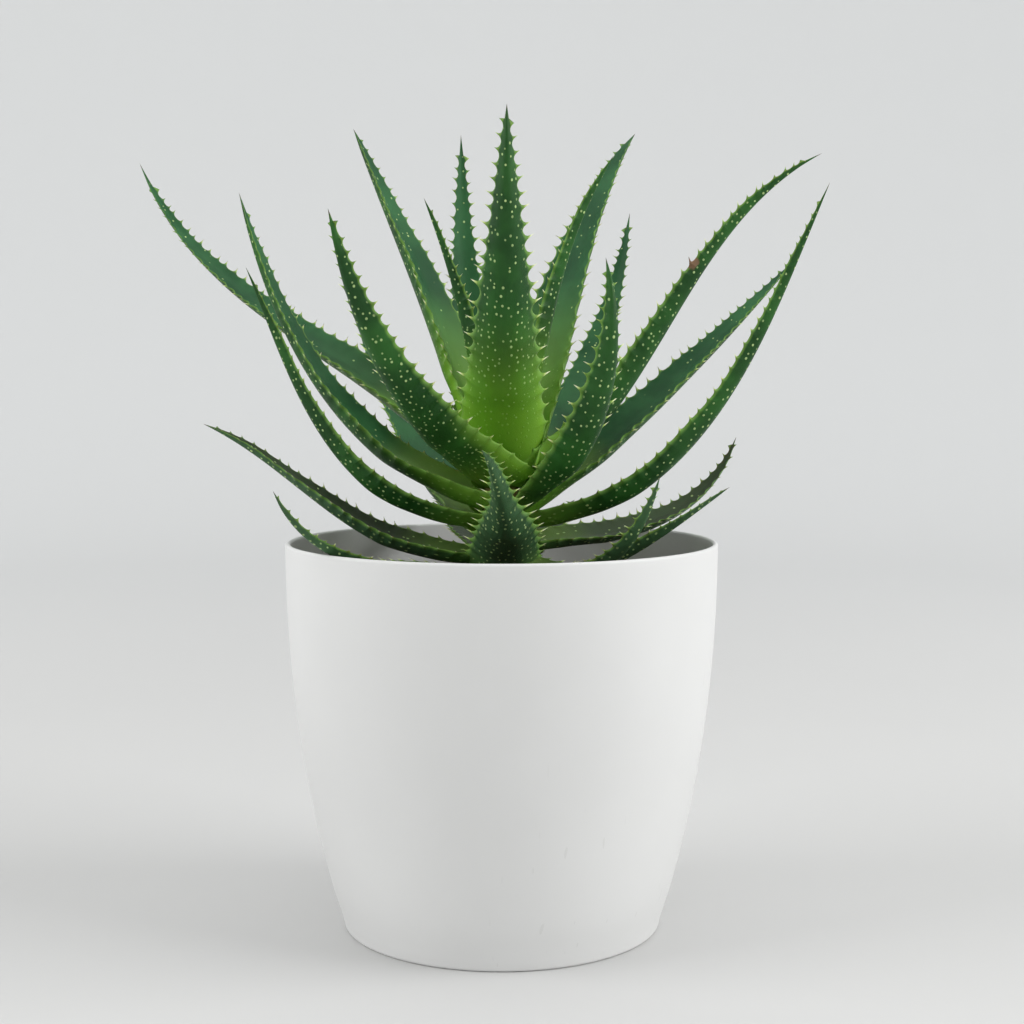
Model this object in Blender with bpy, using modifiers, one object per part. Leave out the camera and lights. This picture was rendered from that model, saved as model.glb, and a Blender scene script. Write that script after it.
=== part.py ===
"""A thorny aloe growing in a plain white indoor pot.

Metres, +Z up. The origin is on the floor, on the pot's axis, and the viewer of the
front stands on -Y. Every leaf, the stem, the soil and the pot is an object of its own.
"""

from collections import namedtuple
from math import atan2, cos, degrees, hypot, pi, radians, sin

import bmesh
import bpy
from mathutils import Vector

MM = 0.001

# Clearance between pieces that touch on the real plant.
GAP = 0.3 * MM

# Pot: a turned shell whose side bulges out from the foot to the rim.
POT_HEIGHT = 162 * MM
RIM_RADIUS = 90 * MM
FOOT_RADIUS = 66.5 * MM
SIDE_BULGE = 2.1
WALL = 2.2 * MM
FLOOR = 3 * MM
FOOT_ROUND = 1.5 * MM
POT_SIDES = 64
POT_STEPS = 9

# Soil: fills the pot up to this far below the rim, a little higher round the stem.
HEADROOM = 24 * MM
SOIL_CROWN = 3 * MM
SOIL_SIDES = 48
SOIL_STEPS = 4

# Stem: stands in the soil. Its heights are counted from the rim, as the leaves' are: it
# narrows from one height to the growing point at the other.
STEM_RADIUS = 8 * MM
STEM_DEPTH = 30 * MM
STEM_NARROWS = 10 * MM
STEM_TOP = 43 * MM
STEM_TOP_RADIUS = 3.5 * MM
STEM_SIDES = 20
STEM_STEPS = 8

# Leaf blade, as shares of its own width and length.
LEAF_STATIONS = 16
TAPER = 0.95
THICKNESS = 0.24
THICKNESS_TAPER = 0.6
CHANNEL = 0.15

# The foot that each blade narrows to where it leaves the stem, and how far out it does so.
FOOT_WIDTH = 8 * MM
FOOT_THICKNESS = 4 * MM
FOOT_REACH = 32 * MM

# Corners of a blade's section, round from one margin over the hollow inner face and back
# under the full outer one: the place across it, then how much of the hollow's depth and of
# the blade's thickness lie between the corner and the line of the margins.
BLADE_SECTION = (
    (1, 0, 0),
    (0.5, 0.75, 0),
    (0, 1, 0),
    (-0.5, 0.75, 0),
    (-1, 0, 0),
    (-0.6, 0.8, 0.8),
    (0, 1, 1),
    (0.6, 0.8, 0.8),
)

# Each leaf, in degrees and millimetres: the side of the stem that it grows from, counted from
# +X towards +Y, how high its foot is above the rim, its length, its rise above the level at
# foot, middle and tip, how far it swings sideways by its tip, its width, and how far its
# inner face is rolled to the right, seen from the foot. Oldest and lowest leaves first.
Leaf = namedtuple("Leaf", "name side foot length rise swing width roll")
LEAVES = (
    Leaf("leaf_long_back_left", 120, 7, 155, (10, 35, 45), 0, 34, 0),
    Leaf("leaf_long_front_right", -20, 9, 195, (0, 54, 65), 0, 22, -5),
    Leaf("leaf_long_front_left", 195, 10, 150, (-5, 55, 65), 0, 24, 0),
    Leaf("leaf_long_back", 90, 13, 150, (15, 45, 60), 0, 28, 0),
    Leaf("leaf_long_right", 20, 13, 165, (35, 40, 45), 0, 28, 20),
    Leaf("leaf_front_right", -60, 17, 135, (15, 50, 115), 0, 30, 0),
    Leaf("leaf_far_left", 175, 18, 170, (15, 55, 75), 0, 28, -10),
    Leaf("leaf_right_back", 62, 20, 180, (25, 45, 75), 0, 28, 0),
    Leaf("leaf_longest_right", 0, 25, 185, (30, 58, 25), 0, 22, -30),
    Leaf("leaf_crown_back_left", 108, 24, 165, (40, 75, 90), 0, 28, 0),
    Leaf("leaf_front_left", 240, 28, 155, (20, 40, 70), 0, 32, 0),
    Leaf("leaf_longest_left", 155, 28, 225, (45, 30, 65), 0, 26, -20),
    Leaf("leaf_upper_right_back", 55, 31, 180, (60, 60, 40), 0, 38, 0),
    Leaf("leaf_crown_front", -88, 35, 150, (50, 65, 85), 0, 38, 0),
    Leaf("leaf_upper_left", 140, 33, 165, (70, 60, 60), 0, 34, 10),
    Leaf("leaf_crown_right", -5, 36, 130, (80, 75, 55), 0, 24, 0),
    Leaf("leaf_crown_left", 200, 40, 105, (85, 75, 65), 0, 18, 0),
    Leaf("leaf_crown_back", 100, 42, 90, (85, 85, 80), 0, 18, 0),
)

# The lowest leaves lie in the pot and reach out over its rim. Their length is in hundredths
# of the way from the stem to a point this far above the rim, and their rise is counted from
# the line of that way.
RIM_CLEARANCE = 5 * MM
LOW_LEAVES = (
    Leaf("leaf_low_front_left", 220, -15, 135, (0, 0, 50), 0, 20, 0),
    Leaf("leaf_low_right", -20, -15, 115, (-15, 15, 20), 0, 20, 0),
    Leaf("leaf_low_front", -85, -10, 125, (10, 25, 10), -20, 32, 0),
    Leaf("leaf_low_back", 70, -10, 110, (-10, 5, 5), 0, 24, 0),
    Leaf("leaf_low_left", 185, -5, 155, (-15, 28, 15), 0, 24, -10),
    Leaf("leaf_low_back_left", 110, -4, 115, (-10, 10, 5), 0, 24, 0),
    Leaf("leaf_low_front_right", -45, -3, 120, (-40, 20, 65), -5, 20, 0),
    Leaf("leaf_low_back_right", 25, -2, 150, (0, 10, 65), 5, 22, 15),
)

MATERIALS = {
    "white_plastic": ((0.78, 0.79, 0.78), 0.55),
    "dark_soil": ((0.045, 0.032, 0.022), 0.95),
    "green_stem": ((0.22, 0.30, 0.08), 0.7),
    "aloe_leaf": ((0.035, 0.13, 0.045), 0.45),
}


def clear_scene():
    for thing in list(bpy.data.objects):
        bpy.data.objects.remove(thing, do_unlink=True)


def make_material(name):
    colour, roughness = MATERIALS[name]
    material = bpy.data.materials.new(name)
    material.use_nodes = True
    shader = material.node_tree.nodes["Principled BSDF"]
    shader.inputs["Base Color"].default_value = (*colour, 1)
    shader.inputs["Roughness"].default_value = roughness
    shader.inputs["Metallic"].default_value = 0
    return material


def add_object(name, mesh, material, collection):
    part = bpy.data.objects.new(name, mesh)
    collection.objects.link(part)
    mesh.materials.append(material)
    mesh.shade_smooth()
    return part


def turned(name, profile, sides, material, collection):
    """A profile of (radius, height) points, outer side from top to bottom, spun about Z."""
    points = bmesh.new()
    line = [points.verts.new((radius, 0, height)) for radius, height in profile]
    for first, second in zip(line, line[1:]):
        points.edges.new((first, second))
    mesh = bpy.data.meshes.new(name)
    points.to_mesh(mesh)
    points.free()
    part = add_object(name, mesh, material, collection)
    screw = part.modifiers.new("turn", "SCREW")
    screw.steps = screw.render_steps = sides
    screw.use_merge_vertices = True
    screw.merge_threshold = 0.01 * MM
    screw.use_smooth_shade = True
    return part


def quarter(centre_radius, centre_height, size, start, steps=3):
    """A rounded edge: a quarter circle in the profile plane, turning clockwise from start."""
    angles = [radians(start - 90 * step / steps) for step in range(steps + 1)]
    return [(centre_radius + size * cos(a), centre_height + size * sin(a)) for a in angles]


def pot_radius(height):
    """The outer radius of the pot's side at a height."""
    below_rim = 1 - height / POT_HEIGHT
    return FOOT_RADIUS + (RIM_RADIUS - FOOT_RADIUS) * (1 - below_rim**SIDE_BULGE)


def heights_between(low, high, steps):
    return [low + (high - low) * step / steps for step in range(steps + 1)]


def make_pot(material, collection):
    lip = WALL / 2
    side = heights_between(POT_HEIGHT - lip, FOOT_ROUND, POT_STEPS)
    inside = heights_between(FLOOR, POT_HEIGHT - lip, POT_STEPS)
    profile = [(RIM_RADIUS - lip, POT_HEIGHT)]
    profile += [(pot_radius(height), height) for height in side]
    profile += quarter(pot_radius(FOOT_ROUND) - FOOT_ROUND, FOOT_ROUND, FOOT_ROUND, 0)[1:]
    profile += [(0, 0), (0, FLOOR)]
    profile += [(pot_radius(height) - WALL, height) for height in inside]
    profile.append(profile[0])
    return turned("pot", profile, POT_SIDES, material, collection)


def soil_top(radius):
    """Height of the soil at a distance from the stem: heaped a little in the middle."""
    level = POT_HEIGHT - HEADROOM
    reach = pot_radius(level) - WALL
    return level + SOIL_CROWN * (0.5 + 0.5 * cos(pi * min(1, radius / reach)))


def make_soil(material, collection):
    """Soil with a hole for the buried part of the stem."""
    hole = STEM_RADIUS + GAP
    low = FLOOR + GAP
    level = POT_HEIGHT - HEADROOM
    edge = pot_radius(level) - WALL - GAP
    across = [hole + (edge - hole) * step / SOIL_STEPS for step in range(SOIL_STEPS + 1)]
    profile = [(radius, soil_top(radius)) for radius in across]
    down = heights_between(level, low, 2 * SOIL_STEPS)[1:]
    profile += [(pot_radius(height) - WALL - GAP, height) for height in down]
    bottom = soil_top(0) - STEM_DEPTH
    profile += [(0, low), (0, bottom - GAP), (hole, bottom - GAP), profile[0]]
    return turned("soil", profile, SOIL_SIDES, material, collection)


def stem_radius(height):
    """Stem radius at a height above the rim."""
    narrowing = max(0, (height - STEM_NARROWS) / (STEM_TOP - STEM_NARROWS))
    return STEM_RADIUS + (STEM_TOP_RADIUS - STEM_RADIUS) * narrowing**2


def make_stem(material, collection):
    base = soil_top(0)
    shoulder = STEM_TOP - STEM_TOP_RADIUS / 2
    rises = heights_between(shoulder, base - POT_HEIGHT, STEM_STEPS)
    profile = [(0, POT_HEIGHT + STEM_TOP)]
    profile += [(stem_radius(rise), POT_HEIGHT + rise) for rise in rises]
    profile += [(STEM_RADIUS, base - STEM_DEPTH), (0, base - STEM_DEPTH)]
    return turned("stem", profile, STEM_SIDES, material, collection)


def blend(first, middle, last, share):
    """The smooth curve through three values at shares 0, 0.5 and 1."""
    near = first * (1 - share) * (1 - 2 * share)
    return near + 4 * middle * share * (1 - share) + last * share * (2 * share - 1)


def over_the_rim(leaf):
    """A low leaf with its length and rise worked out from its way to the rim."""
    foot = leaf.foot * MM
    out = RIM_RADIUS - stem_radius(foot)
    up = RIM_CLEARANCE - foot
    slope = degrees(atan2(up, out))
    length = leaf.length / 100 * hypot(out, up) / MM
    return leaf._replace(length=length, rise=[slope + angle for angle in leaf.rise])


def leaf_frames(leaf):
    """(place, across, inward, share) at each station of a leaf, foot to tip."""
    frames = []
    side = radians(leaf.side)
    foot = leaf.foot * MM
    start = stem_radius(foot) + GAP + FOOT_THICKNESS / 2
    place = Vector((start * cos(side), start * sin(side), POT_HEIGHT + foot))
    step = leaf.length * MM / LEAF_STATIONS
    for station in range(LEAF_STATIONS + 1):
        share = station / LEAF_STATIONS
        rise = radians(blend(*leaf.rise, share))
        turn = side + radians(leaf.swing * share)
        along = Vector((cos(rise) * cos(turn), cos(rise) * sin(turn), sin(rise)))
        level = Vector((-sin(turn), cos(turn), 0))
        roll = radians(leaf.roll * min(1, share * leaf.length * MM / FOOT_REACH))
        across = level * cos(roll) + along.cross(level) * sin(roll)
        if station:
            place = place + (along + before) * (step / 2)
        frames.append((place.copy(), across, along.cross(across), share))
        before = along
    return frames


def blade_ring(leaf, frame):
    """The corners of a leaf's section at one station."""
    place, across, inward, share = frame
    left = 1 - share
    full = min(1, share * leaf.length * MM / FOOT_REACH)
    swell = full * full * (3 - 2 * full)
    broad = leaf.width * MM * left**TAPER
    wide = FOOT_WIDTH + (broad - FOOT_WIDTH) * swell
    deep = leaf.width * MM * THICKNESS * left**THICKNESS_TAPER
    thick = FOOT_THICKNESS + (deep - FOOT_THICKNESS) * swell
    hollow = wide * CHANNEL * swell
    top = place + inward * ((thick + hollow) / 2)
    return [
        top + across * (x * wide / 2) - inward * (dip * hollow + back * thick)
        for x, dip, back in BLADE_SECTION
    ]


def make_leaf(leaf, material, collection):
    """A blade lofted through its sections, with a flat foot and a pointed tip."""
    frames = leaf_frames(leaf)
    form = bmesh.new()
    rings = [[form.verts.new(p) for p in blade_ring(leaf, frame)] for frame in frames[:-1]]
    tip = form.verts.new(frames[-1][0])
    form.faces.new(rings[0])
    for lower, upper in zip(rings, rings[1:]):
        for i in range(len(lower)):
            j = (i + 1) % len(lower)
            form.faces.new((lower[i], lower[j], upper[j], upper[i]))
    for i in range(len(rings[-1])):
        form.faces.new((rings[-1][i], rings[-1][(i + 1) % len(rings[-1])], tip))
    bmesh.ops.recalc_face_normals(form, faces=form.faces)
    mesh = bpy.data.meshes.new(leaf.name)
    form.to_mesh(mesh)
    form.free()
    return add_object(leaf.name, mesh, material, collection)


def main():
    clear_scene()
    plant = bpy.data.collections.new("potted_aloe")
    bpy.context.scene.collection.children.link(plant)
    materials = {name: make_material(name) for name in MATERIALS}
    make_pot(materials["white_plastic"], plant)
    make_soil(materials["dark_soil"], plant)
    make_stem(materials["green_stem"], plant)
    for leaf in [*map(over_the_rim, LOW_LEAVES), *LEAVES]:
        make_leaf(leaf, materials["aloe_leaf"], plant)


main()
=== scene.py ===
"""A thorny aloe in a plain white indoor pot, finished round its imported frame.

Metres, +Z up. Every leaf, the stem, the soil and the pot stand where the frame's plain
solids stand, and take their place and size from them.
"""

import random
from itertools import combinations
from math import cos, pi, radians, sin, tau

import bmesh
import bpy
import numpy as np
from mathutils import Matrix, Vector, noise
from mathutils.geometry import convex_hull_2d


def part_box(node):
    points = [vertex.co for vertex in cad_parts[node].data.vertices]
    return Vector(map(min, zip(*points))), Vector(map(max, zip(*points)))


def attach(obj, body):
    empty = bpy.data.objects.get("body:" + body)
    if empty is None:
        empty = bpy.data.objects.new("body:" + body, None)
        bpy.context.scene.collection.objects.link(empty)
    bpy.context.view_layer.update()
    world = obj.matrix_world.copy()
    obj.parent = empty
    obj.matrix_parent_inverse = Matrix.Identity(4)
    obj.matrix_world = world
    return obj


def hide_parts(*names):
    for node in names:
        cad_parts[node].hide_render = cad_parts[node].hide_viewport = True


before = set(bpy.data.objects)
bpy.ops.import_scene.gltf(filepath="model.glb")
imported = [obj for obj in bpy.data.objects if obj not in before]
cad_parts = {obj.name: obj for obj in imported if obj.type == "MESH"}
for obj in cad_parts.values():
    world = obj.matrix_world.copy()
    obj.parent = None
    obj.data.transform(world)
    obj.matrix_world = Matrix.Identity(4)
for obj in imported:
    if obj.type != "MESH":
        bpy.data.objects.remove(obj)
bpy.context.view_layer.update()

MM = 0.001
SAME_POINT = 0.001 * MM
BODY = "root"
LEAF_NODES = sorted(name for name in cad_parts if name.startswith("leaf_"))
_, pot_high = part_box("pot")
soil_low, soil_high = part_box("soil")
stem_low, stem_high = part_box("stem")
RIM_RADIUS = pot_high.x
POT_HEIGHT = pot_high.z
STEM_RADIUS = stem_high.x


# ---- Materials -------------------------------------------------------------------------


class Value:
    """An output of a material's nodes. A sum on it adds the Math node that works it out."""

    def __init__(self, paint, socket):
        self.paint, self.socket = paint, socket

    def __add__(self, other):
        return self.paint.sum("ADD", self, other)

    def __sub__(self, other):
        return self.paint.sum("SUBTRACT", self, other)

    def __rsub__(self, other):
        return self.paint.sum("SUBTRACT", other, self)

    def __mul__(self, other):
        return self.paint.sum("MULTIPLY", self, other)

    def __truediv__(self, other):
        return self.paint.sum("DIVIDE", self, other)

    __radd__ = __add__
    __rmul__ = __mul__


def tint(red, green, blue):
    """A colour given in the 0 to 255 steps of a paint chart, as linear light."""
    steps = [step / 255 for step in (red, green, blue)]
    return tuple(s / 12.92 if s < 0.04 else ((s + 0.055) / 1.055) ** 2.4 for s in steps)


class Paint:
    """A material under construction: its nodes, and short ways to add more."""

    def __init__(self, name, **shader_values):
        self.material = bpy.data.materials.new(name)
        self.material.use_nodes = True
        self.tree = self.material.node_tree
        self.shader = self.tree.nodes["Principled BSDF"]
        self.set(self.shader, {key.replace("_", " "): v for key, v in shader_values.items()})

    def set(self, node, inputs):
        """Links or sets a node's sockets, by name or by number."""
        for key, value in inputs.items():
            socket = node.inputs[key]
            if isinstance(value, Value):
                self.tree.links.new(value.socket, socket)
            elif isinstance(value, tuple) and socket.type == "RGBA":
                socket.default_value = (*value, 1)
            else:
                socket.default_value = value

    def add(self, kind, settings=None, inputs=None, output=0):
        """A node of this kind, as the value of one of its outputs."""
        node = self.tree.nodes.new("ShaderNode" + kind)
        for key, value in (settings or {}).items():
            setattr(node, key, value)
        self.set(node, inputs or {})
        return Value(self, node.outputs[output])

    def sum(self, operation, first, second):
        """One Math node."""
        return self.add("Math", {"operation": operation}, {0: first, 1: second})

    def place(self):
        """Where a point is in the room."""
        return self.add("TexCoord", output="Object")

    def attribute(self, name):
        """A number that the mesh holds at each of its points."""
        return self.add("Attribute", {"attribute_name": name}, output="Fac")

    def stretched(self, vector, scale):
        """A place with its axes scaled, which stretches the pattern that is read there."""
        return self.add("Mapping", {}, {"Vector": vector, "Scale": scale})

    def noise(self, vector, scale, detail=2.0, roughness=0.5):
        """Cloudy noise of about this many lumps to a metre."""
        inputs = {"Vector": vector, "Scale": scale, "Detail": detail, "Roughness": roughness}
        return self.add("TexNoise", {}, inputs, "Fac")

    def between(self, value, low, high):
        """0 below low and 1 above high, with a soft step from one to the other."""
        inputs = {"Value": value, "From Min": low, "From Max": high}
        return self.add("MapRange", {"interpolation_type": "SMOOTHSTEP"}, inputs)

    def mix(self, share, first, second):
        """The first colour where share is 0, the second where it is 1."""
        inputs = {0: share, 6: first, 7: second}
        return self.add("Mix", {"data_type": "RGBA"}, inputs, 2)

    def bump(self, height, distance, strength=1.0, under=None):
        """A surface roughened by height, on top of another bump if one is given."""
        inputs = {"Height": height, "Distance": distance, "Strength": strength}
        if under is not None:
            inputs["Normal"] = under
        return self.add("Bump", {}, inputs)

    def finish(self, colour, roughness, normal):
        """Wires the shader and gives the material back."""
        wired = {"Base Color": colour, "Roughness": roughness, "Normal": normal}
        self.set(self.shader, wired)
        return self.material


# The pale spots of a leaf: how many to a millimetre across it and along it; and, as shares of
# the way from one to the next, how large the smallest is, how much larger they get, and how
# much larger all are on an old leaf.
SPOTS_PER_MM = (0.33, 0.3, 1)
SPOT_SIZE, SPOT_SPREAD, OLD_SPOT_GROWTH = 0.125, 0.08, 0.02

# Skin colours. The pairs are the two ends of a patchy mix.
BACK_GREENS = tint(20, 66, 18), tint(40, 94, 32)
FACE_GREENS = tint(28, 78, 42), tint(48, 102, 58)
OLD_BACK, OLD_FACE = tint(62, 94, 62), tint(60, 66, 42)
STREAK_GREEN, SPOT_CREAM = tint(72, 116, 62), tint(192, 220, 146)
HEART_BACK, HEART_FACE = tint(126, 184, 40), tint(160, 216, 92)
FOOT_BACK, FOOT_FACE = tint(118, 162, 52), tint(150, 192, 86)
HEM_GREEN, EDGE_GREEN = tint(136, 186, 56), tint(122, 168, 72)
SPINE_BASE, SPINE_POINT = tint(190, 212, 122), tint(240, 242, 200)
DRY_TIP, SCAR_BROWN = tint(66, 46, 26), tint(124, 98, 74)


def aloe_skin():
    """Waxy green leaf skin: pale spots on the back, light margins and spines, dry tip.

    It reads what each leaf's mesh says of itself: share is the way along the blade, inner is 1
    on its inner face, edge rises to 1 at the margin, spine to the point of a spine and scar to
    the middle of a wound, and youth is 1 at the heart of the rosette and below 0 on old leaves.
    """
    paint = Paint("aloe_skin", Subsurface_Weight=0.06, Subsurface_Scale=3 * MM, IOR=1.34)
    share = paint.attribute("share")
    inner = paint.attribute("inner")
    edge = paint.attribute("edge")
    spine = paint.attribute("spine")
    youth = paint.attribute("youth")
    surface = paint.add("UVMap", {"uv_map": "skin"})
    place = paint.place()
    cloud = paint.noise(place, 45, 3)
    fine = paint.noise(place, 420, 4, 0.6)
    streak = paint.noise(paint.stretched(surface, (90, 7, 1)), 1.0, 3)

    patchy = paint.between(cloud, 0.35, 0.68)
    age = 1 - paint.between(youth, 0.0, 0.14)
    back = paint.mix(patchy, *BACK_GREENS)
    back = paint.mix(age * 0.8, back, OLD_BACK)
    face = paint.mix(patchy, *FACE_GREENS)
    face = paint.mix(age * 0.75, face, OLD_FACE)
    green = paint.mix(inner, back, face)
    green = paint.mix(paint.between(streak, 0.5, 0.8) * 0.18, green, STREAK_GREEN)

    # Each cell of the pattern holds one spot, of its own size and strength. A few on the back
    # and most on the inner face are left out, and so are those near the margin and the tip.
    cells = paint.stretched(surface, SPOTS_PER_MM)
    spots = {"Vector": cells, "Scale": 1.0, "Randomness": 0.8}
    flat = {"voronoi_dimensions": "2D"}
    near = paint.add("TexVoronoi", flat, spots, "Distance")
    pick = paint.add("TexVoronoi", flat, spots, "Color")
    chance = paint.add("SeparateColor", {}, {"Color": pick}, "Red")
    size = paint.add("SeparateColor", {}, {"Color": pick}, "Green")
    size = size * SPOT_SPREAD + SPOT_SIZE + age * OLD_SPOT_GROWTH
    kept = paint.between(chance - inner * 0.62, 0.2, 0.24)
    clear_edge = 1 - paint.between(edge, 0.55, 0.9)
    dot = (1 - paint.between(near / size, 0.6, 1.0)) * kept * clear_edge
    dot = dot * (1 - paint.between(share, 0.9, 0.97))
    strength = paint.add("SeparateColor", {}, {"Color": pick}, "Blue") * 0.45 + 0.5
    green = paint.mix(dot * strength, green, SPOT_CREAM)

    # Lighter towards the heart of the rosette, at every foot, and along the margins.
    heart = (1 - paint.between(share, 0.0, 0.52)) * paint.between(youth, 0.72, 0.9)
    lit_green = paint.mix(inner, HEART_BACK, HEART_FACE)
    green = paint.mix(heart * 0.92, green, lit_green)
    foot = 1 - paint.between(share - inner * 0.1, 0.02, 0.2)
    pale_foot = paint.mix(inner, FOOT_BACK, FOOT_FACE)
    green = paint.mix(foot * (0.75 - age * 0.45), green, pale_foot)
    hem = paint.between(edge, 0.25, 1.0) * (1 - paint.between(share, 0.1, 0.4))
    green = paint.mix(hem * paint.between(youth, 0.3, 0.7) * 0.75, green, HEM_GREEN)
    green = paint.mix(paint.between(edge, 0.76, 1.0) * 0.7, green, EDGE_GREEN)
    green = paint.mix(paint.between(spine, 0.02, 0.2), green, SPINE_BASE)
    green = paint.mix(paint.between(spine, 0.15, 0.4), green, SPINE_POINT)

    # Dry tissue: the very tip, and old wounds.
    dry = paint.between(share + (cloud - 0.5) * 0.02, 0.975, 0.992)
    green = paint.mix(dry * 0.85, green, DRY_TIP)
    scar = paint.between(paint.attribute("scar") + (fine - 0.5) * 0.5, 0.35, 0.6)
    green = paint.mix(scar, green, SCAR_BROWN)

    wax = 0.44 + cloud * 0.16 + inner * 0.06 + spine * 0.15 + scar * 0.3
    normal = paint.bump(fine * 0.5 + streak * 0.6, 0.12 * MM, 0.5)
    normal = paint.bump(dot, 0.22 * MM, 0.7, normal)
    return paint.finish(green, wax, normal)


def white_plastic():
    """Matt white moulded plastic with a fine grain, and a few handling marks."""
    paint = Paint("white_plastic", IOR=1.46)
    place = paint.place()
    grain = paint.noise(place, 1500, 3, 0.6)
    mottle = paint.noise(place, 9, 3)
    dust = paint.noise(place, 60, 5, 0.7)
    white = paint.between(mottle, 0.3, 0.7)
    white = paint.mix(white, tint(223, 223, 222), tint(228, 228, 227))
    scratch = paint.noise(paint.stretched(place, (420, 420, 16)), 1.0, 1)
    scuffs = paint.between(scratch, 0.72, 0.76) * paint.between(mottle, 0.5, 0.62)
    grime = paint.between(dust, 0.66, 0.8) * 0.05 + scuffs * 0.12
    white = paint.mix(grime, white, tint(160, 160, 152))
    rough = 0.42 + mottle * 0.08 + grime
    return paint.finish(white, rough, paint.bump(grain, 0.05 * MM, 0.35))


def potting_soil():
    """Dark peaty soil, damp in patches."""
    paint = Paint("potting_soil", IOR=1.35)
    place = paint.place()
    coarse = paint.noise(place, 240, 5, 0.7)
    damp = paint.noise(place, 30, 2)
    brown = paint.mix(paint.between(coarse, 0.3, 0.7), tint(38, 29, 22), tint(92, 72, 54))
    brown = paint.mix(paint.between(damp, 0.45, 0.7) * 0.5, brown, tint(30, 23, 18))
    return paint.finish(brown, 0.95 - damp * 0.15, paint.bump(coarse, 0.8 * MM))


def perlite():
    """Chalky white grains."""
    paint = Paint("perlite", IOR=1.4)
    pits = paint.noise(paint.place(), 900, 3, 0.6)
    grey = paint.mix(paint.between(pits, 0.3, 0.7), tint(176, 172, 160), tint(226, 223, 214))
    return paint.finish(grey, 0.9 + pits * 0.05, paint.bump(pits, 0.3 * MM))


def stem_bark():
    """A young succulent stem: green-tan, ringed with the scars of old leaves."""
    paint = Paint("stem_bark", IOR=1.4)
    place = paint.place()
    rings = paint.noise(paint.stretched(place, (20, 20, 420)), 1.0, 3)
    flecks = paint.noise(place, 260, 4)
    bark = paint.mix(paint.between(rings, 0.35, 0.65), tint(112, 120, 62), tint(146, 128, 86))
    bark = paint.mix(paint.between(flecks, 0.55, 0.75) * 0.5, bark, tint(84, 66, 42))
    return paint.finish(bark, 0.7 + flecks * 0.15, paint.bump(rings + flecks * 0.4, 0.5 * MM))


def backdrop_paper():
    """Pale neutral studio paper, with painted shade and light: darker on the floor near the middle,
    lighter further out up the backdrop.
    """
    paint = Paint("backdrop_paper")
    place = paint.place()
    pulp = paint.noise(place, 3, 2)
    far = paint.add("VectorMath", {"operation": "LENGTH"}, {0: place}, "Value")
    floor = paint.mix(pulp, tint(205, 205, 204), tint(208, 208, 207))
    # Painted shade and light: the paper grows lighter with distance from the middle, standing in for
    # how the lamps fall on floor and backdrop.
    grey = paint.mix(paint.between(far, 0.35, 2.1), floor, tint(232, 233, 233))
    return paint.finish(grey, 0.9 + pulp * 0.02, paint.bump(pulp, 0.1 * MM, 0.1))


# ---- Shared mesh work ------------------------------------------------------------------


def mesh_object(name, form, material):
    """Makes a bmesh a smooth-shaded object of one material."""
    mesh = bpy.data.meshes.new(name)
    form.to_mesh(mesh)
    form.free()
    mesh.shade_smooth()
    mesh.materials.append(material)
    made = bpy.data.objects.new(name, mesh)
    bpy.context.scene.collection.objects.link(made)
    return made


def add_piece(name, form, material, node):
    """Adds a finished piece, which stands for a node of the frame unless node is None."""
    piece = mesh_object(name, form, material)
    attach(piece, BODY)
    if node:
        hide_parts(node)


def lathe(profile, steps):
    """Spins (radius, height) points about Z. From axis to axis they make a closed body."""
    form = bmesh.new()
    line = [form.verts.new((radius, 0, height)) for radius, height in profile]
    edges = [form.edges.new(pair) for pair in zip(line, line[1:])]
    turn = {"axis": (0, 0, 1), "cent": (0, 0, 0), "angle": tau, "steps": steps}
    bmesh.ops.spin(form, geom=line + edges, use_merge=True, **turn)
    bmesh.ops.remove_doubles(form, verts=form.verts, dist=SAME_POINT)
    bmesh.ops.recalc_face_normals(form, faces=form.faces)
    return form


def welded_copy(node):
    """A node's mesh with its loose triangles joined."""
    form = bmesh.new()
    form.from_mesh(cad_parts[node].data)
    bmesh.ops.remove_doubles(form, verts=form.verts, dist=SAME_POINT)
    return form


def smooth_between(values, at):
    """Values at whole-numbered stations, read off one smooth curve at places between them."""
    values = np.asarray(values, float)
    last = len(values) - 1
    low = np.clip(np.floor(at).astype(int), 0, last - 1)
    t = (at - low).reshape(-1, *[1] * (values.ndim - 1))
    before, start, end, after = (values[np.clip(low + i, 0, last)] for i in (-1, 0, 1, 2))
    linear = end - before
    square = 2 * before - 5 * start + 4 * end - after
    cube = 3 * start - before - 3 * end + after
    return start + 0.5 * t * (linear + t * (square + t * cube))


def smoothstep(values):
    """0 below 0 and 1 above 1, with a soft step from one to the other."""
    held = np.clip(values, 0, 1)
    return held * held * (3 - 2 * held)


# ---- Leaves ----------------------------------------------------------------------------

# The foot: how far up the blade it still clasps the stem, and how far its middle and its
# margins are drawn in towards the stem there.
CLASP_REACH = 36 * MM
CLASP_SINK = 3 * MM
CLASP_WRAP = 7 * MM

# A blade's section: how full its rounded back is. The first bends the curve near the middle,
# the second near the margins.
BACK_CURVE, BACK_FULLNESS = 2.3, 0.72

# Ripples of the margins: how high, and how long each of the two waves is, over tau.
RIPPLE = 0.22 * MM
RIPPLE_WAVES = (11 * MM, 6.3 * MM)

# Spines: how far apart they stand on the widest blade, near its foot and near its tip, and half
# of that blade's width; how long one is with the bump that it stands on, and how much of that
# is the bump; how far it hooks forward and turns up; and where along the blade they run.
SPINE_GAP = 8.6 * MM
SPINE_GAP_TIP = 5.0 * MM
WIDEST_HALF = 18 * MM
SPINE_LENGTH = 4.4 * MM
BUMP = 0.38
SPINE_HOOK = 0.32
SPINE_TILT = 0.3
SPINES_FROM = 0.05
SPINES_TO = 0.93

# How much the gaps, the lengths and the places of spines vary from one to the next.
GAP_VARIES = (0.85, 1.15)
LENGTH_VARIES = (0.75, 1.15)
SLIP_VARIES = (-0.2, 0.2)

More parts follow.
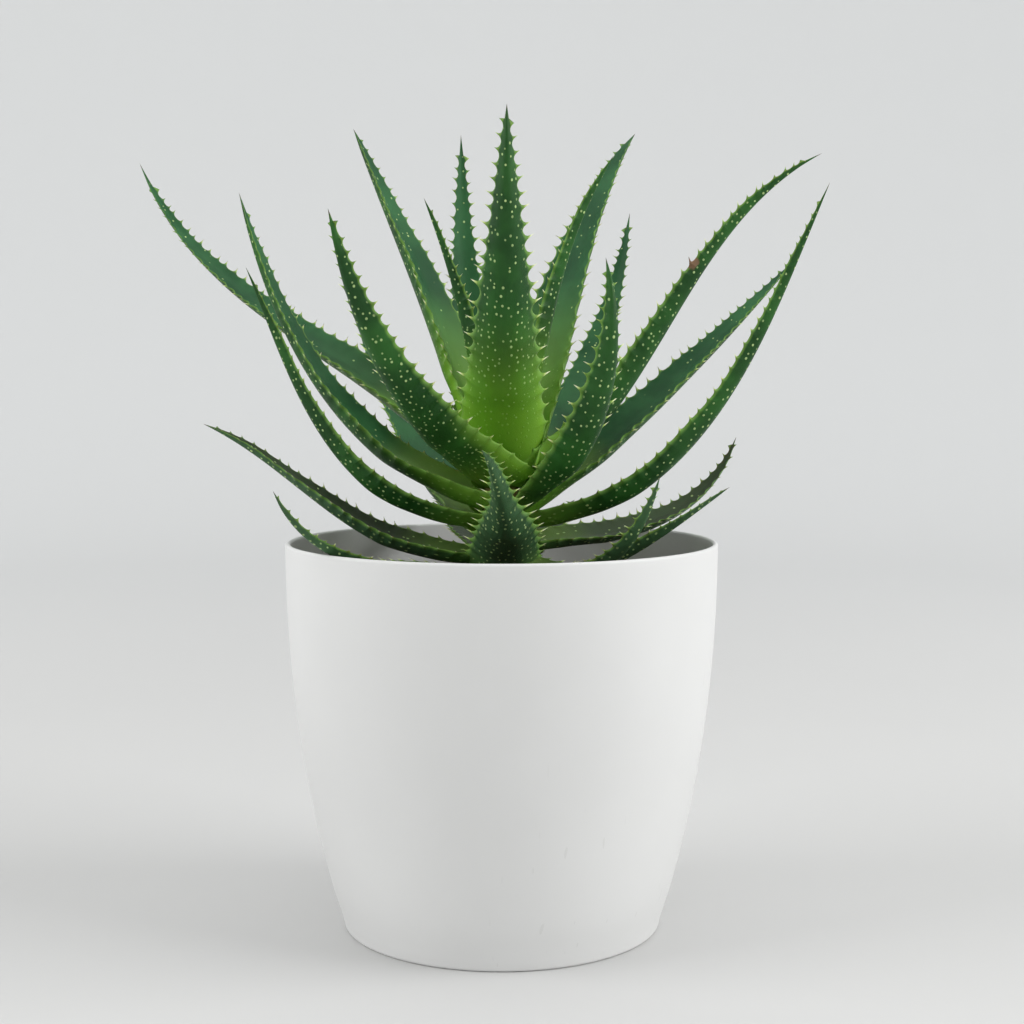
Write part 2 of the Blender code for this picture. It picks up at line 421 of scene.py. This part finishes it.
# On the low old leaves: how wide the gaps are and how long the spines, at foot and tip.
OLD_GAPS = (0.72, 1.3)
OLD_LENGTHS = (1.3, 0.8)

# Rows of the mesh below the first spine and above the last.
FOOT_ROWS = 12
TIP_ROWS = 6

# How much narrower than its plain solid a leaf is in its upper half.
SLIM_FROM_MIDDLE = {"leaf_low_front": 0.45}

# Feet turned about their own line, so that the channel opens towards the front: by how
# much at the stem, and how far out the turn fades away.
TURNED_FEET = {"leaf_front_right": (radians(50), 70 * MM)}

# How high over the rim the heart of the rosette is.
HEART_HEIGHT = 35 * MM

# The youngest leaves: whose shape they have, each one's turn in degrees and its size, how far
# they stand from the stem's middle, and how deep they are set in its top.
HEART_SHAPE = "leaf_crown_back"
HEART_LEAVES = ((40, 0.5), (165, 0.42), (285, 0.36))
HEART_SPREAD = 1.5 * MM
HEART_DEPTH = 7 * MM

# Old wounds: how far along the leaf's blade, on which margin (1 or -1), and how large.
SCARS = {"leaf_longest_right": (0.62, -1, 5 * MM)}

# The skin's map: how far its start may be shifted from leaf to leaf, and how far apart the
# inner face and the back lie on it.
MAP_SHIFT_MM = 50
FACES_APART_MM = 100

# One gap between spines, tipwards: where its stations lie, and how much of a spine's horny
# point stands at each. The spine that ends the gap has its tip at the last station.
GAP_STATIONS = (0.03, 0.08, 0.16, 0.30, 0.50, 0.68, 0.80, 0.88, 0.94, 1.00)
GAP_POINT = (0.52, 0.20, 0.04, 0.00, 0.00, 0.02, 0.08, 0.24, 0.52, 1.00)

# Columns round the blade, by their place across it (-1 to 1): from one margin over the inner
# face to the other, and back under the outer face. Those near a margin, at this distance from
# the middle, swell with a share of the bumps that the spines stand on.
INNER_COLUMNS = (0.96, 0.86, 0.7, 0.48, 0.24, 0, -0.24, -0.48, -0.7, -0.86, -0.96)
OUTER_COLUMNS = (-0.985, -0.93, -0.8, -0.62, -0.4, -0.2, 0, 0.2, 0.4, 0.62, 0.8, 0.93, 0.985)
EDGE_SHARES = {0.96: 0.8, 0.86: 0.35, 0.985: 0.8, 0.93: 0.45, 0.8: 0.12}


def rings_of(node):
    """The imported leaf's rings of corners, the foot's ring first and the tip's point last.

    They are found from the tip down: each ring holds the corners joined to the one before it.
    """
    form = welded_copy(node)
    form.verts.ensure_lookup_table()
    foot = min(form.verts, key=lambda v: v.co.xy.length)
    tip = max(form.verts, key=lambda v: (v.co - foot.co).length)
    rings, seen, layer = [], {tip.index}, [tip]
    while layer:
        rings.append([v.co.copy() for v in layer])
        found = {e.other_vert(v).index for v in layer for e in v.link_edges} - seen
        seen |= found
        layer = [form.verts[i] for i in sorted(found)]
    form.free()
    return rings[::-1]


def margin_pairs(rings):
    """The two margin corners of each ring: those furthest apart in the last pair's direction."""
    pairs = [max(combinations(rings[0], 2), key=lambda pair: (pair[0] - pair[1]).length)]
    for ring in rings[1:]:
        line = pairs[-1][0] - pairs[-1][1]
        pairs.append([end(ring, key=line.dot) for end in (max, min)])
    return pairs


def blade_stations(node):
    """The blade from foot to tip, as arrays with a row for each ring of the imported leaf.

    They hold the middle between the margins; the directions across the blade and out of its
    inner face; and the half width, the depth of the channel and the depth of the back.
    """
    rings = rings_of(node)
    pairs = margin_pairs(rings[:-1])
    middles = [(one + other) / 2 for one, other in pairs] + [rings[-1][0]]
    places, across, inward, sizes = [], [], [], []
    for i, (ring, pair) in enumerate(zip(rings, pairs)):
        along = (middles[i + 1] - middles[max(i - 1, 0)]).normalized()
        centre = sum(ring, Vector()) / len(ring)
        out = centre - middles[i]
        side = (pair[0] - pair[1]).normalized()
        out -= along * out.dot(along)
        face = -(out - side * out.dot(side)).normalized()
        if along.cross(side).dot(face) < 0:
            side = -side
        depths = [((middles[i] - corner).dot(face), corner) for corner in ring]
        half = (pair[0] - pair[1]).length / 2
        centred = [d for d, c in depths if abs((c - middles[i]).dot(side)) < 0.2 * half]
        places.append(middles[i])
        across.append(side)
        inward.append(face)
        sizes.append((half, min(centred or [0]), max(d for d, _ in depths)))
    places.append(rings[-1][0])
    across.append(across[-1])
    inward.append(inward[-1])
    sizes.append((0, 0, 0))
    return [np.array(list_of, float) for list_of in (places, across, inward, sizes)]


def spine_stations(length, spread, old, chance):
    """Where the mesh has rows along the blade, and what the spines add there.

    The arrays hold each row's distance from the foot and then, for both margins, how far out
    the spines reach, how much of it is their bumps, how far those slip along the margin and
    how far the spines' points hook ahead.
    """
    none = (0, 0)
    start, stop = SPINES_FROM * length, SPINES_TO * length
    rows = [(step / FOOT_ROWS * start, none, none, none, none) for step in range(FOOT_ROWS)]
    here, last_slips = start, none
    while here < stop:
        share = here / length
        gap = SPINE_GAP + (SPINE_GAP_TIP - SPINE_GAP) * share**1.5
        gap *= spread
        widening, growth = 1, 1
        if old:
            widening = np.interp(share, (0, 1), OLD_GAPS)
            growth = np.interp(share, (0, 1), OLD_LENGTHS)
        gap *= widening * chance.uniform(*GAP_VARIES)
        # Spines start at under half their length, and shrink again towards the tip.
        swell = min(1, 0.45 + 3 * (share - SPINES_FROM)) * (1 - 0.7 * share**3.5)
        swell *= growth * SPINE_LENGTH
        sizes = [swell * chance.uniform(*LENGTH_VARIES) for _ in range(2)]
        slips = [chance.uniform(*SLIP_VARIES) * gap for _ in range(2)]
        for place, point in zip(GAP_STATIONS, GAP_POINT):
            out = BUMP * (1 - sin(pi * place)) + (1 - BUMP) * point
            soft = BUMP * (0.5 + 0.5 * cos(tau * place))
            full = [out * size for size in sizes]
            bump = [soft * size for size in sizes]
            slip = [last + (new - last) * place for last, new in zip(last_slips, slips)]
            hook = [SPINE_HOOK * point * size for size in sizes]
            rows.append((here + place * gap, full, bump, slip, hook))
        here += gap
        last_slips = slips
    left = length - here
    rest = [here + left * step / TIP_ROWS for step in range(1, TIP_ROWS + 1)]
    rows += [(place, none, none, none, none) for place in rest]
    return [np.array(column, float) for column in zip(*rows)]


def blade_columns():
    """Each column's place across, inner (1) or outer (0) face, and share of the bumps."""
    inner = [(x, 1, EDGE_SHARES.get(abs(x), 0)) for x in INNER_COLUMNS]
    outer = [(x, 0, EDGE_SHARES.get(abs(x), 0)) for x in OUTER_COLUMNS]
    return [(1, 1, 1), *inner, (-1, 1, 1), *outer, (1, 0, 1)]


def youth_of(node):
    """How near the rosette's heart a leaf starts: up to 1 there, and below 0 on low leaves."""
    low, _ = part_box(node)
    return min(1, max(-1, (low.z - POT_HEIGHT) / HEART_HEIGHT))


def blade_points(node, chance):
    """The blade's points by row and column, and each row's distance, share and spine points."""
    places, across, inward, sizes = blade_stations(node)
    steps = np.linalg.norm(np.diff(places, axis=0), axis=1)
    run = np.concatenate([[0], np.cumsum(steps)])
    length = run[-1]

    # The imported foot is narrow. A real one keeps the blade's width down to the stem, where it
    # is four fifths as thick.
    full = int(np.argmax(run > CLASP_REACH))
    slope = (sizes[full] - sizes[full + 3]) / (run[full + 3] - run[full])
    below = run[:full, None]
    wide = sizes[full] + slope * (run[full] - below)
    thick = sizes[full] * (0.8 + 0.2 * below / run[full])
    sizes[:full] = np.where([True, False, False], wide, thick)

    # A narrow blade carries its spines closer together.
    old = youth_of(node) < 0
    spread = 0.55 + 0.45 * sizes[full, 0] / WIDEST_HALF
    distance, spines, bumps, slips, hooks = spine_stations(length, spread, old, chance)
    at = np.interp(distance, run, np.arange(len(run)))
    place, side, face, size = (smooth_between(v, at) for v in (places, across, inward, sizes))
    size = np.maximum(size, 0)
    size[-1] = 0
    # A leaf that slims does so from three to six tenths of its length.
    slim = SLIM_FROM_MIDDLE.get(node, 0)
    size[:, 0] *= 1 - slim * smoothstep((distance / length - 0.3) / 0.3)
    side /= np.linalg.norm(side, axis=1)[:, None]
    face /= np.linalg.norm(face, axis=1)[:, None]
    if node in TURNED_FEET:
        most, reach = TURNED_FEET[node]
        turn = np.copysign(most, side[0, 1]) * smoothstep(1 - distance / reach)[:, None]
        old_side = side
        side = side * np.cos(turn) + face * np.sin(turn)
        face = face * np.cos(turn) - old_side * np.sin(turn)
    along = np.cross(side, face)
    share = distance / length
    clasp = smoothstep(1 - distance / CLASP_REACH)
    inwards = -places[0] * (1, 1, 0)
    inwards /= np.linalg.norm(inwards)

    # The last of these draws is spare. It keeps the ones that follow as they are.
    starts = [chance.uniform(0, tau) for _ in range(3)]
    waves = [np.sin(distance / wave + begun) for wave, begun in zip(RIPPLE_WAVES, starts)]
    swing = waves[0] + waves[1]
    swing *= RIPPLE * np.clip(share * 6, 0, 1) * np.clip((1 - share) * 5, 0, 1)

    points = []
    for x, inner, edge in blade_columns():
        half, hollow, depth = size.T
        margin = 0 if x > 0 else 1
        if inner:
            drop = -hollow * (1 - x * x)
        else:
            drop = -depth * (1 - abs(x) ** BACK_CURVE) ** BACK_FULLNESS
        proud = spines[:, margin] if abs(x) == 1 else bumps[:, margin] * edge
        reach = x * half + (1 if x > 0 else -1) * proud
        ripple = swing * (x * x if inner else abs(x) ** 4)
        ahead = slips[:, margin] * edge + (hooks[:, margin] if abs(x) == 1 else 0)
        wrap = clasp * (CLASP_SINK + CLASP_WRAP * x * x)
        tilt = SPINE_TILT * (proud - bumps[:, margin]) if abs(x) == 1 else 0
        point = place + side * reach[:, None] + face * (drop + ripple + tilt)[:, None]
        points.append(point + along * ahead[:, None] + inwards * wrap[:, None])
    horny = np.maximum(spines / SPINE_LENGTH - BUMP, 0)
    return np.stack(points, 1), distance, share, horny


def make_leaf(node, skin, young_name=None, move=None):
    """One leaf: a flat grid rolled into a closed blade with spiny margins.

    With a young name it is a small new leaf, of this node's shape but moved and shrunk. Its map
    runs in millimetres from the ridge of each face, so that spots are as large at the tip.
    """
    chance = random.Random(young_name or node)
    points, distance, share, spines = blade_points(node, chance)
    columns = blade_columns()
    rows, across = points.shape[:2]
    youth = youth_of(node)
    wound, wound_side, wound_size = SCARS.get(node, (0, 0, MM))
    offset = chance.uniform(0, MAP_SHIFT_MM)

    form = bmesh.new()
    bmesh.ops.create_grid(form, x_segments=across - 1, y_segments=rows - 1, size=1)
    names = ("share", "inner", "edge", "spine", "youth", "scar")
    layers = [form.verts.layers.float.new(name) for name in names]
    skin_map = form.loops.layers.uv.new("skin")
    spots = {}
    for vertex in form.verts:
        i = round((vertex.co.x + 1) / 2 * (across - 1))
        j = round((vertex.co.y + 1) / 2 * (rows - 1))
        spots[vertex] = i, j
        x, inner, _ = columns[i]
        vertex.co = move @ Vector(points[j, i]) if move else points[j, i]
        spine = spines[j, 0 if x > 0 else 1] if abs(x) == 1 else 0
        off = (distance[j] - wound * distance[-1]) / wound_size, (wound_side - x) * 2
        scar = max(0, 1 - np.hypot(*off)) if wound else 0
        values = (share[j], inner, abs(x) ** 3, spine, youth, scar)
        for layer, value in zip(layers, values):
            vertex[layer] = value
    girth = np.linalg.norm(np.diff(points, axis=1), axis=2)
    around = np.hstack([np.zeros((rows, 1)), np.cumsum(girth, axis=1)])
    ridges = [i for i, (x, _, _) in enumerate(columns) if x == 0]
    turn_over = len(INNER_COLUMNS) + 1
    for patch in form.faces:
        is_inner = all(spots[v][0] <= turn_over for v in patch.verts)
        ridge = ridges[0] if is_inner else ridges[1]
        shift = offset if is_inner else offset + FACES_APART_MM
        for corner in patch.loops:
            i, j = spots[corner.vert]
            out = (around[j, i] - around[j, ridge]) / MM
            corner[skin_map].uv = (out + shift, distance[j] / MM + offset)
    bmesh.ops.remove_doubles(form, verts=form.verts, dist=2 * SAME_POINT)
    bmesh.ops.holes_fill(form, edges=[e for e in form.edges if e.is_boundary], sides=0)
    bmesh.ops.recalc_face_normals(form, faces=form.faces)
    if young_name:
        add_piece(young_name, form, skin, None)
    else:
        add_piece(node + "_blade", form, skin, node)


def make_heart(skin):
    """The youngest leaves, standing close together on the stem's top."""
    foot = Vector(blade_stations(HEART_SHAPE)[0][0])
    out = Vector((foot.x, foot.y, 0)).normalized() * HEART_SPREAD
    seat = Vector((0, 0, stem_high.z - HEART_DEPTH))
    for place, (turn, size) in enumerate(HEART_LEAVES):
        move = Matrix.Translation(seat) @ Matrix.Rotation(radians(turn), 4, "Z")
        move @= Matrix.Translation(out) @ Matrix.Scale(size, 4) @ Matrix.Translation(-foot)
        make_leaf(HEART_SHAPE, skin, f"heart_leaf_{place + 1}", move)


# ---- Pot, soil and stem ----------------------------------------------------------------

# Pot: how many steps there are round it and up its side, how far the foot's edge is rounded
# and how far in from it the underside is flat, and the gap that is left under the soil.
POT_STEPS = 180
SIDE_ROWS = 80
FOOT_ROUND = 1.6 * MM
UNDERSIDE_IN = 12 * MM
SOIL_GAP = 0.3 * MM

# Soil: how many rings and steps it has, and how much of its radius the crumbs lie on. Then its
# roughness: lumps to a metre, which layer of the noise, and height, for heaps, crumbs and grit.
SOIL_RINGS = 46
SOIL_STEPS = 200
CRUMBS_TO = 0.97
SOIL_LUMPS = ((45, 1.7, 1.3 * MM), (320, 4.2, 0.9 * MM), (900, 8.1, 0.4 * MM))

# Stem: how many rings and steps it has, from what share of its height it narrows and by how
# much, and how deep its leaf scars are and how long one wave of them is, over tau.
STEM_RINGS = 60
STEM_STEPS = 48
STEM_NARROWS_FROM = 0.6
STEM_NARROWS_BY = 0.55
SCAR_DEPTH = 0.35 * MM
SCAR_WAVE = 0.62 * MM


def pot_outline():
    """(radius, height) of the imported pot's outer side, from its foot up to the rim's top."""
    form = welded_copy("pot")
    cut = [(v.co.x, v.co.z) for v in form.verts if abs(v.co.y) < SAME_POINT]
    form.free()
    hull = [cut[i] for i in convex_hull_2d(cut)]
    return sorted((point for point in hull if point[0] > 0), key=lambda point: point[1])


def make_pot(plastic):
    """The pot as a smooth turned shell with a round lip and a softened foot."""
    outline = pot_outline()
    lip = RIM_RADIUS - outline[-1][0]
    wall = 2 * lip
    pairs = zip(outline, outline[1:])
    side = np.array([low for low, high in pairs if high[1] - low[1] > wall] + [outline[-2]])
    heights = np.linspace(side[0, 1], side[-1, 1], SIDE_ROWS)
    radii = smooth_between(side[:, 0], np.interp(heights, side[:, 1], range(len(side))))
    floor_top = soil_low.z - SOIL_GAP
    profile = [(0, 0), (radii[0] - UNDERSIDE_IN, 0)]
    for degrees in range(-90, 1, 15):
        turn = radians(degrees)
        foot = radii[0] - FOOT_ROUND * (1 - cos(turn)), FOOT_ROUND * (1 + sin(turn))
        profile.append(foot)
    profile += [(r, z) for r, z in zip(radii, heights) if z > FOOT_ROUND * 1.5]
    for degrees in range(15, 180, 15):
        turn = radians(degrees)
        profile.append((RIM_RADIUS - lip + lip * cos(turn), POT_HEIGHT - lip + lip * sin(turn)))
    inner = [(r - wall, z) for r, z in zip(radii, heights) if z > floor_top + 1 * MM]
    profile += inner[::-1]
    profile += [(inner[0][0] - SOIL_GAP, floor_top), (0, floor_top)]
    form = lathe(profile, POT_STEPS)
    add_piece("pot_shell", form, plastic, "pot")


def soil_height(radius, level, edge):
    """Height of the smooth soil, which rises a little round the stem."""
    return level + (soil_high.z - level) * (0.5 + 0.5 * cos(pi * radius / edge))


def soil_roughness(x, y):
    """What the heaps, crumbs and grit add to the smooth soil's height."""
    lumps = [noise.noise(Vector((x * n, y * n, layer))) * high for n, layer, high in SOIL_LUMPS]
    return sum(lumps)


def make_soil(soil):
    """The soil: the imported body's shape with a crumbly top. Gives its edge's height and radius."""
    source = welded_copy("soil")
    side = [(v.co.x, v.co.z) for v in source.verts if abs(v.co.y) < SAME_POINT and v.co.x > 0]
    source.free()
    edge = max(x for x, z in side)
    level = max(z for x, z in side if x > edge - 0.01 * MM)
    radii = [edge * step / SOIL_RINGS for step in range(SOIL_RINGS + 1)]
    profile = [(radius, soil_height(radius, level, edge)) for radius in radii]
    wall = {(round(x, 5), round(z, 5)) for x, z in side if z < level - MM and x > edge * 0.6}
    profile += sorted(wall, key=lambda point: (-point[1], point[0]))
    profile.append((0, soil_low.z))
    form = lathe(profile, SOIL_STEPS)
    for vertex in form.verts:
        if vertex.co.z > level - 0.5 * MM and vertex.co.xy.length < edge - 1 * MM:
            vertex.co.z += soil_roughness(vertex.co.x, vertex.co.y)
    add_piece("soil_bed", form, soil, "soil")
    return level, edge


def scatter(name, count, sizes, material, level, edge, chance):
    """Small rough lumps lying on the soil, joined into one piece."""
    form = bmesh.new()
    for _ in range(count):
        radius = edge * CRUMBS_TO * chance.random() ** 0.5
        turn = chance.uniform(0, tau)
        x, y = radius * cos(turn), radius * sin(turn)
        size = chance.uniform(*sizes)
        lies = soil_height(radius, level, edge) + soil_roughness(x, y)
        spot = Vector((x, y, lies + size * 0.2))
        shape = Matrix.Diagonal([chance.uniform(0.6, 1.3) for _ in range(3)]).to_4x4()
        turned = Matrix.Rotation(chance.uniform(0, tau), 4, Vector((chance.random(), 1, 0.3)))
        where = Matrix.Translation(spot) @ turned @ shape
        lump = bmesh.ops.create_icosphere(form, subdivisions=1, radius=size, matrix=where)
        for vertex in lump["verts"]:
            vertex.co += Vector([chance.uniform(-0.22, 0.22) * size for _ in range(3)])
    add_piece(name, form, material, None)


def make_stem(bark):
    """The stem: a knobbly turned rod with the rings of old leaf scars."""
    base, top = stem_low.z, stem_high.z
    profile = [(0, base)]
    for step in range(STEM_RINGS + 1):
        share = step / STEM_RINGS
        height = base + (top - base - 2 * MM) * share
        narrow = max(0, share - STEM_NARROWS_FROM) / (1 - STEM_NARROWS_FROM)
        radius = STEM_RADIUS * (1 - STEM_NARROWS_BY * narrow**2)
        radius += SCAR_DEPTH * sin(height / SCAR_WAVE)
        profile.append((radius, height))
    profile.append((0, top))
    form = lathe(profile, STEM_STEPS)
    add_piece("stem_rod", form, bark, "stem")


# ---- Studio ----------------------------------------------------------------------------

# Floor: its radius, and the radius and height of the bend that makes it a backdrop.
STAGE_REACH, STAGE_BEND, STAGE_HEIGHT = 2.4, 1.0, 1.6

# Softboxes: where each stands, what it faces, how wide and high it is, and its watts.
SOFTBOXES = {
    "key_right": ((1.45, -0.35, 1.05), (0, 0, 0.8), (1.2, 0.9), 20),
    "fill_left": ((-1.5, -0.4, 1.05), (0, 0, 0.8), (1.2, 0.9), 14.5),
    "top_back": ((0.0, 0.3, 1.9), (0, 0, POT_HEIGHT), (1.8, 1.4), 8),
}
AIR_COLOUR = tint(240, 241, 241)
AIR_STRENGTH = 0.58

# Camera: how far in front of the pot in rim radii, how high in pot heights, how far to the
# right, how many degrees it looks down, and its lens on a 36 mm sensor.
CAMERA_AWAY = 7.9
CAMERA_HIGH = 1.4247
CAMERA_RIGHT = 4.3 * MM
LOOKS_DOWN = 4.57
LENS_MM = 59.9


def make_stage(paper):
    """A round pale floor that curves up into a backdrop on every side."""
    flat = STAGE_REACH - STAGE_BEND
    profile = [(0, 0), (0.5, 0), (flat, 0)]
    for step in range(1, 13):
        turn = radians(90 * step / 12)
        profile.append((flat + STAGE_BEND * sin(turn), STAGE_BEND * (1 - cos(turn))))
    profile.append((STAGE_REACH, STAGE_HEIGHT))
    form = lathe(profile, 96)
    bmesh.ops.reverse_faces(form, faces=form.faces)
    mesh_object("studio_floor", form, paper)


def make_lights():
    """Three softboxes, and soft light from all round."""
    for name, (place, aim, size, watts) in SOFTBOXES.items():
        lamp = bpy.data.lights.new(name, "AREA")
        lamp.shape = "RECTANGLE"
        lamp.size, lamp.size_y = size
        lamp.energy = watts
        softbox = bpy.data.objects.new(name, lamp)
        softbox.location = place
        direction = Vector(aim) - Vector(place)
        softbox.rotation_euler = direction.to_track_quat("-Z", "Y").to_euler()
        bpy.context.scene.collection.objects.link(softbox)
    world = bpy.data.worlds.new("studio_air")
    world.use_nodes = True
    air = world.node_tree.nodes["Background"]
    air.inputs["Color"].default_value = (*AIR_COLOUR, 1)
    air.inputs["Strength"].default_value = AIR_STRENGTH
    bpy.context.scene.world = world


def make_camera():
    """A long lens a little above the rim, looking slightly down."""
    lens = bpy.data.cameras.new("front_view")
    lens.sensor_width = 36
    lens.lens = LENS_MM
    camera = bpy.data.objects.new("front_view", lens)
    camera.location = (CAMERA_RIGHT, -CAMERA_AWAY * RIM_RADIUS, CAMERA_HIGH * POT_HEIGHT)
    camera.rotation_euler = (radians(90 - LOOKS_DOWN), 0, 0)
    bpy.context.scene.collection.objects.link(camera)
    bpy.context.scene.camera = camera


def main():
    """Builds the plant, its pot and the studio."""
    make_camera()
    bpy.context.scene.view_settings.view_transform = "Standard"
    skin = aloe_skin()
    for node in LEAF_NODES:
        make_leaf(node, skin)
    make_heart(skin)
    make_pot(white_plastic())
    earth = potting_soil()
    level, edge = make_soil(earth)
    chance = random.Random(7)
    scatter("soil_crumbs", 700, (0.5 * MM, 1.9 * MM), earth, level, edge, chance)
    scatter("perlite_grains", 90, (0.6 * MM, 1.6 * MM), perlite(), level, edge, chance)
    make_stem(stem_bark())
    make_stage(backdrop_paper())
    make_lights()
    bpy.context.view_layer.update()


main()
